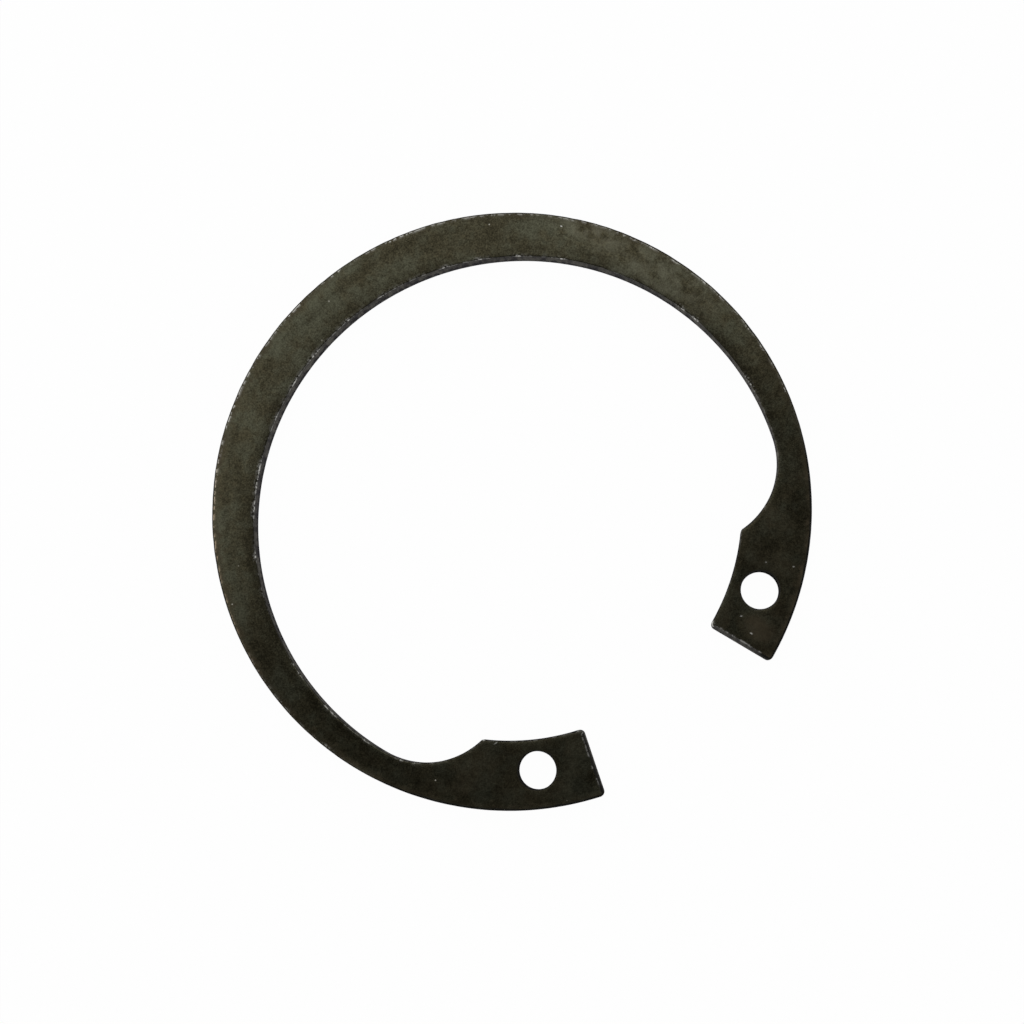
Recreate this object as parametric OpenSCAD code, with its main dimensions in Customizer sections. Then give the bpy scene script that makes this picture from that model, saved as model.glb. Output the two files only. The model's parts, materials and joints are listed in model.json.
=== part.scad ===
// Internal retaining ring: a flat, open spring ring that snaps into a groove in a bore.
// Lying flat, with its axis on Z, its lower face at Z = 0 and its gap towards +X. Millimetres.

/* [Ring] */
// Outside diameter of the relaxed ring
free_d = 56.2; // [50:0.1:64]
// Thickness of the strip that the ring is punched from
thickness = 2; // [1.2:0.1:3]
// Width of the beam opposite the gap, where it is widest
beam_w = 4.65; // [4:0.05:5.5]
// Distance from the ring's axis to the centre of the beam's inner edge, which tapers the beam
taper = 1.45; // [0.5:0.05:2]

/* [Lugs] */
// Angle between the two end faces, measured at the ring's axis
gap_angle = 40.4; // [30:0.2:50]
// Angle of a lug's inner edge, from the end face to the relief
lug_angle = 24.8; // [20:0.2:28]
// Height of a lug, from the rim to its inner edge
lug_h = 6.4; // [5.6:0.1:7.5]
// Radius of the relief that joins the beam's inner edge to a lug
relief_r = 7.7; // [6:0.1:10]

/* [Plier holes] */
// Diameter of the hole in each lug
hole_d = 3.5; // [2:0.1:4]
// Distance from a lug's inner edge to the centre of its hole
hole_inset = 2.85; // [2.5:0.05:3.4]
// Distance from a lug's end face to the centre of its hole
hole_setback = 5.2; // [3.5:0.1:6.5]

/* [Edges] */
// Radius of the rounded edges along both faces
edge_r = 0.2; // [0.1:0.02:0.3]
// Radius of a lug's corners, seen from above
corner_r = 0.45; // [0.35:0.05:0.8]
// Angle at which a rounded edge or corner meets the surface beside it
blend_angle = 12; // [8:1:20]

/* [Hidden] */
$fn = 144;
// Segments of the small rounds along the edges
edge_segments = 48;
// How far the cutting shapes stand past what they cut
margin = 1;

axis = [0, 0];
rim_r = free_d / 2;
lug_r = rim_r - lug_h;
beam_r = rim_r - beam_w + taper;
end_angle = gap_angle / 2;
// Bearing of the direction that points out of the lug's end face, into the gap
into_gap = end_angle - 90;
// Depth of a round's centre behind the surfaces that the round joins
edge_seat = edge_r * cos(blend_angle);
corner_seat = corner_r * cos(blend_angle);

beam_centre = [taper, 0];
lug_corner = spot(lug_r, end_angle + lug_angle);
relief_centre = meeting(beam_centre, beam_r - relief_r, lug_corner, relief_r);
relief_bearing = bearing(beam_centre, relief_centre);
hole_centre = behind_end(lug_r + hole_inset, hole_setback);
outer_corner = behind_end(rim_r - corner_seat, corner_seat);
inner_corner = behind_end(lug_r + corner_seat, corner_seat);
relief_corner = meeting(relief_centre, relief_r + corner_seat, axis, lug_r + corner_seat);

// Point at a radius from the axis, and at an angle from the middle of the gap
function spot(radius, angle) = radius * [cos(angle), sin(angle)];

// Point at a radius from the axis, and at a depth behind the lug's end face
function behind_end(radius, depth) = spot(radius, end_angle + asin(depth / radius));

// Bearing of the way from p to q, anticlockwise from +X
function bearing(p, q) = atan2(q.y - p.y, q.x - p.x);

// Point that is a from p and b from q, on the left of the way from p to q
function meeting(p, a, q, b) =
    let (
        d = norm(q - p),
        ahead = (q - p) / d,
        along = (d * d + a * a - b * b) / (2 * d),
        aside = sqrt(a * a - along * along)
    )
    p + along * ahead + aside * [-ahead.y, ahead.x];

// Section of the strip behind an edge at x = 0, whose rounds run out past both faces
module edge_section(depth) {
    translate([0, edge_seat]) square([depth, thickness - 2 * edge_seat]);
    translate([edge_r, edge_seat - edge_r])
        square([depth - edge_r, thickness + 2 * (edge_r - edge_seat)]);
    for (z = [edge_seat, thickness - edge_seat])
        translate([edge_r, z]) circle(edge_r, $fn = edge_segments);
}

// Space inside a round wall, flared at both faces by the rounded edges
module hollow(radius, angle = 360) {
    rotate_extrude(angle = angle)
        difference() {
            translate([0, -margin]) square([radius + edge_r, thickness + 2 * margin]);
            translate([radius, 0]) edge_section(2 * edge_r);
        }
}

// Space outside a lug's rounded corner, from one bearing round to the other
module corner_trim(centre, from, to) {
    translate(centre) rotate(from)
        rotate_extrude(angle = (to - from + 360) % 360)
            difference() {
                translate([corner_r - edge_r, -margin])
                    square([corner_r + edge_r, thickness + 2 * margin]);
                translate([corner_r, 0]) mirror([1, 0]) edge_section(2 * edge_r);
            }
}

// Space on the gap's side of the lug's end face
module gap_side() {
    rotate(end_angle) rotate([90, 0, 90])
        linear_extrude(rim_r + margin)
            difference() {
                translate([-rim_r, -margin]) square([rim_r + edge_r, thickness + 2 * margin]);
                edge_section(2 * edge_r);
            }
}

// Half of a plain ring, on the +Y side, as high all round as the lugs
module blank() {
    rotate_extrude(angle = 180)
        translate([lug_r, 0])
            intersection() {
                square([lug_h, thickness]);
                edge_section(lug_h);
                translate([lug_h, 0]) mirror([1, 0]) edge_section(lug_h);
            }
}

// Space inside the beam on the +Y side, as far as the bearing where the relief leaves its inner edge,
// and the space inside the relief from there on
module beam_hollow() {
    translate(beam_centre) {
        intersection() {
            hollow(beam_r);
            rotate(relief_bearing) translate([-rim_r, 0, -margin])
                cube([free_d, free_d, thickness + 2 * margin]);
        }
        rotate(relief_bearing) translate([beam_r - relief_r, 0]) rotate(180) hollow(relief_r, 180);
    }
}

// The ring on the +Y side of the gap's middle
module half_ring() {
    difference() {
        blank();
        beam_hollow();
        gap_side();
        translate(hole_centre) hollow(hole_d / 2);
        corner_trim(outer_corner, into_gap, bearing(axis, outer_corner));
        corner_trim(inner_corner, bearing(inner_corner, axis), into_gap);
        corner_trim(relief_corner, bearing(relief_corner, relief_centre), bearing(relief_corner, axis));
    }
}

module retaining_ring() {
    color("#2e2c25") {
        half_ring();
        mirror([0, 1, 0]) half_ring();
    }
}

retaining_ring();
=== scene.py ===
"""An internal retaining ring: a flat, open spring ring with eyed lugs, punched from steel and blackened."""

import json
import logging
import math
from collections.abc import Mapping
from dataclasses import dataclass
from enum import Enum
from functools import reduce
from typing import Any

import bmesh
import bpy
import numpy as np
from mathutils import Matrix, Vector


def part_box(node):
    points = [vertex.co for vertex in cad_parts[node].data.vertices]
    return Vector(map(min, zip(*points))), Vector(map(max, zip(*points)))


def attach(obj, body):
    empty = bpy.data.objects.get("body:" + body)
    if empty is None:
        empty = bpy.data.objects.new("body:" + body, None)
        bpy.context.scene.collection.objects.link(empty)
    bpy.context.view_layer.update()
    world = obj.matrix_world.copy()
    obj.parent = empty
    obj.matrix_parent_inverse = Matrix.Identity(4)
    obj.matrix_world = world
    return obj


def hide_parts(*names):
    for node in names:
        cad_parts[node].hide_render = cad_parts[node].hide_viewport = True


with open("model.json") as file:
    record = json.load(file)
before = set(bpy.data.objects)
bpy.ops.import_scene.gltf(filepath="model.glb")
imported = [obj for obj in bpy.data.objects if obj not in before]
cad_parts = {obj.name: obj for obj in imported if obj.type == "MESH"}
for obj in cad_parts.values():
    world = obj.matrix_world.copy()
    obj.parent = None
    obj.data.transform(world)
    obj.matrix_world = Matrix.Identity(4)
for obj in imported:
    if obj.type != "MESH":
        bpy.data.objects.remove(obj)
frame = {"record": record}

LOG = logging.getLogger("retaining_ring")
NODE = "retaining_ring"
SLOT = "blackened_steel"
BODY = "root"
MM = 0.001
TURN = 2 * math.pi
Colour = tuple[float, float, float]
Span = tuple[float, float]


class Side(Enum):
    """The two flat faces of the ring."""

    UPPER = "upper"
    LOWER = "lower"


class Hand(Enum):
    """The two lugs, by the side of the opening on which they stand."""

    LEFT = -1
    RIGHT = 1


class Edge(Enum):
    """The two long edges of the ring."""

    RIM = "rim"
    INNER = "inner"


class Band(Enum):
    """What a vertex attribute of the ring's mesh says about the surface there."""

    CREST = "crest"
    KNOCK = "knock"
    WALL = "wall"
    INSET = "inset"


class Run(Enum):
    """How a pattern of the finish lies on the ring: even, drawn out along it, or drawn out up and down."""

    EVEN = "even"
    ALONG = "along"
    UPRIGHT = "upright"


def mount(name: str) -> dict[str, Any]:
    """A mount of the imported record, with its place in metres and its sizes in millimetres."""
    return next(m for m in frame["record"]["mounts"] if m["name"] == name)


def ray(bearing: np.ndarray | float) -> np.ndarray:
    """Unit vectors in plan at the given bearings, in radians anticlockwise from +X."""
    return np.stack([np.cos(bearing), np.sin(bearing)], axis=-1)


def bearing_to(start: np.ndarray, target: np.ndarray) -> float:
    """The bearing of the way from one point in plan to another, in radians."""
    return math.atan2(target[1] - start[1], target[0] - start[0])


def meeting(first: np.ndarray, reach: float, second: np.ndarray, other_reach: float) -> np.ndarray:
    """Finds the point at given distances from two points.

    The point lies a distance along the line between them, (d^2 + a^2 - b^2) / 2d, and to the left of it by
    what is left of a.

    Args:
        first: The first point in plan.
        reach: The distance a from the first point.
        second: The second point in plan.
        other_reach: The distance b from the second point.

    Returns:
        The meeting point on the left of the way from the first point to the second.
    """
    gap = float(np.linalg.norm(second - first))
    ahead = (second - first) / gap
    along = (gap**2 + reach**2 - other_reach**2) / (2 * gap)
    aside = math.sqrt(reach**2 - along**2)
    return first + along * ahead + aside * np.array([-ahead[1], ahead[0]])


def smooth(value: np.ndarray) -> np.ndarray:
    """A rise from 0 to 1 with level ends, 3x^2 - 2x^3, held at 0 and 1 outside that range."""
    held = np.clip(value, 0, 1)
    return held * held * (3 - 2 * held)


def bell(distance: np.ndarray, width: np.ndarray | float) -> np.ndarray:
    """A bell curve with a half width, exp(-(distance / width)^2)."""
    return np.exp(-((distance / width) ** 2))


def between(first: float, second: float, share: np.ndarray) -> np.ndarray:
    """Values that go from the first to the second as a share goes from 0 to 1."""
    return first + (second - first) * share


def crowded(count: int) -> np.ndarray:
    """Shares from 0 to 1 that crowd towards both ends, (1 - cos(pi x)) / 2."""
    return (1 - np.cos(np.pi * np.linspace(0, 1, count))) / 2


@dataclass(frozen=True)
class Arc:
    """A round stretch of an outline.

    Attributes:
        centre: Centre in plan.
        radius: Radius in metres.
        start: Bearing of the first point from the centre, in radians.
        end: Bearing of the last point.
        hollow: True where the steel lies outside the circle.
    """

    centre: np.ndarray
    radius: float
    start: float
    end: float
    hollow: bool = False

    def stations(self, pitch: float, least: int) -> np.ndarray:
        """Evenly spaced bearings, without the last one.

        Args:
            pitch: Distance between points in metres.
            least: The least count of points.

        Returns:
            The bearings in radians.
        """
        length = self.radius * abs(self.end - self.start)
        count = max(least, round(length / pitch))
        return np.linspace(self.start, self.end, count, endpoint=False)

    def trace(self, bearings: np.ndarray) -> tuple[np.ndarray, np.ndarray]:
        """Points of the arc at bearings from its centre, and the directions out of the steel there."""
        rays = ray(bearings)
        return self.centre + self.radius * rays, -rays if self.hollow else rays


@dataclass(frozen=True)
class Loop:
    """A closed line in plan, with the steel on its left.

    Attributes:
        edge: Points of the line.
        out: Unit vectors that lead out of the steel.
    """

    edge: np.ndarray
    out: np.ndarray

    def inset(self, depth: float) -> np.ndarray:
        """The line moved into the steel by a depth."""
        return self.edge - depth * self.out

    def across(self) -> np.ndarray:
        """How squarely the line faces away from the axis, from -1 on the inner edge to 1 on the rim."""
        return (self.edge * self.out).sum(axis=1) / np.linalg.norm(self.edge, axis=1)

    def radial(self) -> np.ndarray:
        """Where the line runs towards the ring's axis, as on an end face, from 0 to 1."""
        return smooth(2 - 4 * np.abs(self.across()))

    def outer(self) -> np.ndarray:
        """Where the line bounds the ring on the outside, from 0 on the inner edge to 1 on the rim."""
        return smooth(0.5 + self.across())

    def run(self) -> tuple[np.ndarray, float]:
        """How far each point lies along the line, and the length of the whole line, in metres."""
        steps = np.linalg.norm(np.roll(self.edge, -1, axis=0) - self.edge, axis=1)
        return np.cumsum(steps) - steps, float(steps.sum())


@dataclass(frozen=True)
class Ripple:
    """Unevenness along a closed line, a sum of waves that each go round a whole number of times.

    Attributes:
        height: Height of the unevenness, as a share or in metres.
        longest: Longest wave in metres.
        shortest: Shortest wave in metres.
        waves: How many waves are summed.
    """

    height: float
    longest: float
    shortest: float
    waves: int = 48

    def along(self, loop: Loop, seed: int) -> np.ndarray:
        """Unevenness at each point of a line: height * sqrt(2 / n) * the sum of cos(2 pi turns x + phase).

        Args:
            loop: The line.
            seed: Seed of the waves' phases.

        Returns:
            Values around 0.
        """
        place, length = loop.run()
        turns = np.round(length / np.geomspace(self.longest, self.shortest, self.waves))
        phases = np.random.default_rng(seed).uniform(0, TURN, self.waves)
        angles = TURN * np.outer(place / length, turns) + phases
        return self.height * math.sqrt(2 / self.waves) * np.cos(angles).sum(axis=1)


@dataclass(frozen=True)
class Nicks:
    """Small knocks along an edge, each a bell curve on the edge's round.

    Attributes:
        spacing: Mean distance between knocks in metres.
        width: Widest half width in metres.
        depth: Deepest knock in metres.
        narrowest: Narrowest half width, as a share of the widest.
        smallest: Root of the shallowest depth, as a share of the deepest.
    """

    spacing: float = 4.5 * MM
    width: float = 0.35 * MM
    depth: float = 0.09 * MM
    narrowest: float = 0.4
    smallest: float = 0.15

    def along(self, loop: Loop, seed: int) -> np.ndarray:
        """Depth of the knocks at each point of a line, as the sum of their bell curves.

        Args:
            loop: The line.
            seed: Seed of the knocks' places, widths and depths.

        Returns:
            Depths in metres.
        """
        place, length = loop.run()
        count = max(1, round(length / self.spacing))
        draw = np.random.default_rng(seed)
        at = draw.uniform(0, length, count)
        widths = self.width * draw.uniform(self.narrowest, 1, count)
        depths = self.depth * draw.uniform(self.smallest, 1, count) ** 2
        away = np.abs(place[:, None] - at)
        away = np.minimum(away, length - away)
        return (depths * bell(away, widths)).sum(axis=1)


@dataclass(frozen=True)
class Knock:
    """A place where the upper edge was struck and its coat is gone.

    Attributes:
        edge: The edge that was struck.
        bearing: Bearing of the place from the ring's axis, in degrees.
        length: Length along the edge in metres.
        shine: How bare the steel is there, from 0 to 1.
    """

    edge: Edge
    bearing: float
    length: float
    shine: float

    def along(self, loop: Loop) -> np.ndarray:
        """How bare each point of a line is, as a bell curve on the struck edge alone.

        Args:
            loop: The line.

        Returns:
            Values from 0 to 1.
        """
        polar = np.arctan2(loop.edge[:, 1], loop.edge[:, 0]) - math.radians(self.bearing)
        away = np.linalg.norm(loop.edge, axis=1) * np.angle(np.exp(1j * polar))
        own = (loop.across() > 0) == (self.edge is Edge.RIM)
        return self.shine * own * bell(away, self.length / 2)


@dataclass
class Patch:
    """A grid of surface points, with what each Band says there.

    Attributes:
        points: Points in metres, as rows of columns of vectors.
        bands: For each Band, one value for each point.
        closed: True where the last column joins the first.
    """

    points: np.ndarray
    bands: dict[Band, np.ndarray]
    closed: bool = False

    def corners(self) -> np.ndarray:
        """Joins neighbouring points to quads.

        Returns:
            Four corner numbers for each quad, whose normal is the rows' direction crossed with the columns'.
        """
        rows, columns = self.points.shape[:2]
        numbers = np.arange(rows * columns).reshape(rows, columns)
        if self.closed:
            numbers = np.concatenate([numbers, numbers[:, :1]], axis=1)
        quads = [numbers[:-1, :-1], numbers[1:, :-1], numbers[1:, 1:], numbers[:-1, 1:]]
        return np.stack(quads, axis=-1).reshape(-1, 4)

    def turned(self) -> "Patch":
        """The same grid facing the other way, with its rows in reverse order."""
        return Patch(self.points[::-1], {band: v[::-1] for band, v in self.bands.items()}, self.closed)


@dataclass(frozen=True)
class Strip:
    """The steel strip, and how a punch and die leave its edges.

    Attributes:
        thickness: Thickness in metres.
        edge_r: Mean radius of the rounded edge between the rim and the upper face.
        inner_r: Mean radius of the upper face's other rounded edges.
        burr_r: Mean radius of the rounded edges on the lower face.
        land: Depth behind an edge at which the flat face takes over.
        roll_depth: How far the punch draws the upper face down at an edge.
        roll_width: How far behind an edge that draw begins.
        shear_share: Share of the thickness below which the wall is torn rather than sheared.
        tear_lean: How far the torn wall leans back at the lower face.
        round_ripple: Unevenness of the upper rounds, as a share of their radius.
        burr_ripple: Unevenness of the lower rounds, as such a share.
        tear_ripple: Unevenness of the height at which the wall tore, as a share of it.
        tear_grain: Unevenness of the torn wall.
        nicks: Small knocks along the upper edges.
        least_round: Smallest upper round, as a share of its mean radius.
        land_share: Largest upper round, as a share of the land.
        end_gain: How much larger the rounds are along the lugs' end faces, as a share.
        wear_place: Place of the worn line along the rim and the ends, as a share of the round from the wall.
        wear_width: Half width of the worn line, as such a share.
        knock_place: Place of the knocks on a round, and of the inner edge's worn line, as such a share.
        knock_width: Half width of both across the round, as such a share.
        knock_depth: How much a knock adds to the radius of the edge.
        round_rows: Points across each rounded edge.
        wall_rows: Points down the wall between them.
    """

    thickness: float
    edge_r: float = 0.25 * MM
    inner_r: float = 0.14 * MM
    burr_r: float = 0.12 * MM
    land: float = 0.42 * MM
    roll_depth: float = 0.03 * MM
    roll_width: float = 2.0 * MM
    shear_share: float = 0.42
    tear_lean: float = 0.012 * MM
    round_ripple: Ripple = Ripple(0.1, 30 * MM, 1.2 * MM)
    burr_ripple: Ripple = Ripple(0.08, 20 * MM, 0.8 * MM)
    tear_ripple: Ripple = Ripple(0.1, 9 * MM, 0.7 * MM)
    tear_grain: Ripple = Ripple(0.006 * MM, 1.5 * MM, 0.35 * MM)
    nicks: Nicks = Nicks()
    least_round: float = 0.5
    land_share: float = 0.95
    end_gain: float = 0.9
    wear_place: float = 0.82
    wear_width: float = 0.16
    knock_place: float = 0.5
    knock_width: float = 0.4
    knock_depth: float = 0.05 * MM
    round_rows: int = 9
    wall_rows: int = 9

    def draw(self, inset: np.ndarray, side: Side) -> np.ndarray:
        """How far a face is drawn down behind an edge: depth * (1 - inset / width)^2.

        Args:
            inset: Distances behind the edge in metres.
            side: The face.

        Returns:
            Drops in metres, which are 0 on the lower face.
        """
        depth = self.roll_depth if side is Side.UPPER else 0
        return depth * np.clip(1 - inset / self.roll_width, 0, None) ** 2

    def skin(self, loop: Loop, seed: int, worn: bool, knocks: list[Knock]) -> Patch:
        """Carries the strip's section along a closed line.

        The section goes from the upper face over a round, down the wall and round to the lower face. On a
        round of radius r, the point at an angle a from the face lies r (1 - sin a) behind the edge and
        r (1 - cos a) below the face. The wall leans back below the height where it tore. Worn lines and
        knocks are bell curves across a round that end before the wall.

        Args:
            loop: The line.
            seed: Seed of the unevenness along it.
            worn: True where its edges have a worn line.
            knocks: Where its upper edge was struck.

        Returns:
            The walls and rounded edges beside the line.
        """
        bare = np.max([np.zeros(len(loop.edge)), *(knock.along(loop) for knock in knocks)], axis=0)
        outer = worn * loop.outer()
        radius = between(self.inner_r, self.edge_r, outer)
        upper = radius * (1 + self.round_ripple.along(loop, seed))
        upper = upper * (1 + self.end_gain * worn * loop.radial())
        upper = upper + self.nicks.along(loop, seed + 1) + self.knock_depth * bare
        upper = np.clip(upper, self.least_round * radius, self.land_share * self.land)
        lower = self.burr_r * (1 + self.burr_ripple.along(loop, seed + 2))
        torn = self.thickness * self.shear_share * (1 + self.tear_ripple.along(loop, seed + 3))
        grain = self.tear_grain.along(loop, seed + 4)

        angle = np.linspace(0, np.pi / 2, self.round_rows)[:, None]
        across = np.linspace(0, 1, self.wall_rows + 2)[1:-1, None]
        level = np.zeros_like(upper)[None]
        lean = self.tear_lean + level

        upper_inset = upper * (1 - np.sin(angle))
        upper_z = self.thickness - self.draw(upper_inset, Side.UPPER) - upper * (1 - np.cos(angle))
        lower_inset = (lean + lower * (1 - np.sin(angle)))[::-1]
        lower_z = (lower * (1 - np.cos(angle)))[::-1]
        wall_z = upper_z[-1] + across * (lower_z[0] - upper_z[-1])
        tear = smooth((torn - wall_z) / torn)
        wall_inset = self.tear_lean * tear + np.clip(grain, 0, None) * 4 * tear * (1 - tear)

        land = self.land + level
        land_z = self.thickness - self.draw(land, Side.UPPER)
        inset = np.concatenate([land, upper_inset, wall_inset, lower_inset, land])
        height = np.concatenate([land_z, upper_z, wall_z, lower_z, level])
        above = height > self.thickness / 2
        share = inset / np.where(above, upper, lower)
        off_wall = smooth(share / self.wear_width)
        thin = np.minimum(2 * outer, 1)
        middle = between(self.knock_place, self.wear_place, thin)
        spread = between(self.knock_width, self.wear_width, thin)
        crest = worn * off_wall * bell(share - middle, spread)
        knock = above * bare * off_wall * bell(share - self.knock_place, self.knock_width)
        steep = np.sin(angle) ** 2 + level
        wall = np.concatenate([level, steep, np.ones_like(wall_z), steep[::-1], level])
        plan = loop.edge - inset[..., None] * loop.out
        points = np.concatenate([plan, height[..., None]], axis=-1)
        bands = {Band.CREST: crest, Band.KNOCK: knock, Band.WALL: wall, Band.INSET: inset}
        return Patch(points, bands, closed=True)

    def face(self, plan: np.ndarray, edges: np.ndarray, side: Side, closed: bool) -> Patch:
        """Lays a grid of plan points on a face.

        Args:
            plan: Plan points, as rows of columns of vectors.
            edges: Points of all edges in plan, from which the distance to the nearest edge is taken.
            side: The face to lay them on.
            closed: True where the last column joins the first.

        Returns:
            The face, drawn down a little beside the edges, with its normal out of the steel.
        """
        batch = 1000
        flat = plan.reshape(-1, 2)
        pieces = np.array_split(flat, 1 + len(flat) // batch)
        nearest = [np.linalg.norm(p[:, None] - edges, axis=-1).min(axis=1) for p in pieces]
        inset = np.concatenate(nearest).reshape(plan.shape[:2])
        top = self.thickness if side is Side.UPPER else 0
        height = top - self.draw(inset, side)
        points = np.concatenate([plan, height[..., None]], axis=-1)
        none = np.zeros_like(inset)
        bands = {Band.CREST: none, Band.KNOCK: none, Band.WALL: none, Band.INSET: inset}
        patch = Patch(points, bands, closed)
        return patch if side is Side.UPPER else patch.turned()


@dataclass(frozen=True)
class RetainingRing:
    """The ring, with its axis on Z, its lower face at Z = 0 and its opening towards +X.

    Attributes:
        strip: The steel that it is punched from.
        rim_r: Radius of the rim.
        hole_centre: Centre of the right lug's plier hole in plan.
        hole_r: Radius of the plier holes.
        beam_w: Width of the beam opposite the opening.
        taper: Distance from the axis to the centre of the beam's inner edge.
        gap_angle: Angle between the end faces at the axis.
        lug_angle: Angle of a lug's inner edge, from its end face to the relief.
        lug_h: Height of a lug, from the rim to its inner edge.
        relief_r: Radius of the relief between the beam and a lug.
        corner_r: Radius of the lugs' corners in plan.
        pitch: Distance between points along the outline.
        corner_points: Least count of points round a corner.
        rows: Points across the beam, and across a lug from its hole to its edge.
        outline_seed: Seed of the unevenness along the outline.
        hole_seeds: Seeds of the unevenness round the left and the right hole.
        inner_knocks: Bearings of the short knocks on the inner edge, in degrees.
        faint_knocks: Bearings of the faint ones.
        inner_scrapes: Bearings of the long ones.
        rim_knocks: Bearings of the knocks on the rim.
        rim_shine: How bare the steel is at the knocks on the rim, from 0 to 1.
        faint_shine: How bare it is at the faint knocks.
        knock: Length of a short knock.
        scrape: Length of a long one.
    """

    strip: Strip
    rim_r: float
    hole_centre: np.ndarray
    hole_r: float
    beam_w: float = 4.65 * MM
    taper: float = 1.45 * MM
    gap_angle: float = math.radians(40.4)
    lug_angle: float = math.radians(24.8)
    lug_h: float = 6.4 * MM
    relief_r: float = 7.7 * MM
    corner_r: float = 0.45 * MM
    pitch: float = 0.2 * MM
    corner_points: int = 8
    rows: int = 15
    outline_seed: int = 11
    hole_seeds: tuple[int, int] = (41, 51)
    inner_knocks: tuple[float, ...] = (77, 79, 96, 100, 129, 139, 148, 156, 172, 182, 210, 242)
    faint_knocks: tuple[float, ...] = (250, 267, 270, 279, 281, 290, 298, 301)
    inner_scrapes: tuple[float, ...] = (193, 200, 222, 226, 231)
    rim_knocks: tuple[float, ...] = (74, 80, 83, 88, 96, 100, 107, 112, 116, 129, 162, 284)
    rim_shine: float = 0.8
    faint_shine: float = 0.45
    knock: float = 0.8 * MM
    scrape: float = 1.8 * MM

    def inner_arcs(self) -> list[Arc]:
        """The inner edge from the middle of the beam to the right lug, as arcs that run into one another.

        Returns:
            The beam's edge, the relief and the corner where the relief turns into the lug.
        """
        axis = np.zeros(2)
        beam_r = self.rim_r - self.beam_w + self.taper
        beam_centre = np.array([self.taper, 0])
        lug_r = self.rim_r - self.lug_h
        lug_corner = lug_r * ray(self.gap_angle / 2 + self.lug_angle)
        relief_centre = meeting(beam_centre, beam_r - self.relief_r, lug_corner, self.relief_r)
        corner = meeting(relief_centre, self.relief_r + self.corner_r, axis, lug_r + self.corner_r)
        leaving = bearing_to(beam_centre, relief_centre)
        turning = bearing_to(corner, relief_centre)
        return [
            Arc(beam_centre, beam_r, math.pi, leaving, hollow=True),
            Arc(relief_centre, self.relief_r, leaving, bearing_to(relief_centre, corner), hollow=True),
            Arc(corner, self.corner_r, turning, bearing_to(corner, axis) % TURN),
        ]

    def lug_arcs(self, start: float) -> tuple[list[Arc], list[Arc]]:
        """The right lug's edge, before and after its straight end face.

        Args:
            start: Polar angle at which the lug's inner edge starts, in radians.

        Returns:
            The inner edge and inner corner, and the outer corner and the rim beside the lug.
        """
        axis = np.zeros(2)
        end = self.gap_angle / 2
        lug_r = self.rim_r - self.lug_h
        into_gap = end - math.pi / 2
        inner_seat = lug_r + self.corner_r
        outer_seat = self.rim_r - self.corner_r
        inner_polar = end + math.asin(self.corner_r / inner_seat)
        outer_polar = end + math.asin(self.corner_r / outer_seat)
        inner_corner = Arc(inner_seat * ray(inner_polar), self.corner_r, inner_polar - math.pi, into_gap)
        outer_corner = Arc(outer_seat * ray(outer_polar), self.corner_r, into_gap, outer_polar)
        inner_edge = Arc(axis, lug_r, start, inner_polar, hollow=True)
        return [inner_edge, inner_corner], [outer_corner, Arc(axis, self.rim_r, outer_polar, start)]

    def traces(self, arcs: list[Arc]) -> list[tuple[np.ndarray, np.ndarray]]:
        """Points of each arc, and the directions out of the steel there."""
        return [arc.trace(arc.stations(self.pitch, self.corner_points)) for arc in arcs]

    def outline(self) -> tuple[Loop, int, int]:
        """The outline in plan, from the middle of the beam's inner edge round the right lug and on.

        The rim's points along the beam have the polar angles of the inner edge's points, so that lines
        across the beam are radial. The left half mirrors the right one.

        Returns:
            The outline, and the numbers of the points at which the beam meets the right lug, on the inner
            edge and on the rim.
        """
        inner = self.inner_arcs()
        traced = self.traces(inner)
        last = inner[-1]
        dividing = float(np.arctan2(*last.trace(np.array([last.end]))[0][0, ::-1]))
        before, after = self.lug_arcs(dividing)
        traced += self.traces(before)

        into_gap = ray(self.gap_angle / 2 - math.pi / 2)
        foot = before[-1].centre + self.corner_r * into_gap
        head = after[0].centre + self.corner_r * into_gap
        count = round(float(np.linalg.norm(head - foot)) / self.pitch)
        shares = np.linspace(0, 1, count, endpoint=False)[:, None]
        traced.append((foot + shares * (head - foot), np.repeat(into_gap[None], count, axis=0)))
        traced += self.traces(after)

        inner_count = sum(len(points) for points, _ in traced[: len(inner)])
        rim_start = sum(len(points) for points, _ in traced)
        edge = np.concatenate([points for points, _ in traced])
        out = np.concatenate([outs for _, outs in traced])
        behind = (edge - self.strip.land * out)[inner_count::-1]
        polar = np.abs(np.arctan2(behind[:, 1], behind[:, 0]))
        polar[0], polar[-1] = dividing, math.pi
        rays = ray(polar)
        edge = np.concatenate([edge, self.rim_r * rays])
        out = np.concatenate([out, rays])
        flip = np.array([1, -1])
        loop = Loop(np.concatenate([edge, flip * edge[-2:0:-1]]), np.concatenate([out, flip * out[-2:0:-1]]))
        return loop, inner_count, rim_start

    def plans(self) -> tuple[list[Loop], np.ndarray, list[np.ndarray]]:
        """Divides the flat faces in plan into the beam and the two lugs.

        The beam is ruled between the inner edge and the rim. A lug is ruled between its hole and its
        outline, along lines that leave the hole's centre.

        Returns:
            The outline and the two holes as lines, the beam's grid, and the lugs' grids.
        """
        loop, inner, rim = self.outline()
        total = len(loop.edge)
        behind = loop.inset(self.strip.land)
        shares = crowded(self.rows)[:, None, None]
        steps = np.arange(total - 2 * rim + 1)
        beam = (1 - shares) * behind[(inner - steps) % total] + shares * behind[rim + steps]

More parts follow.
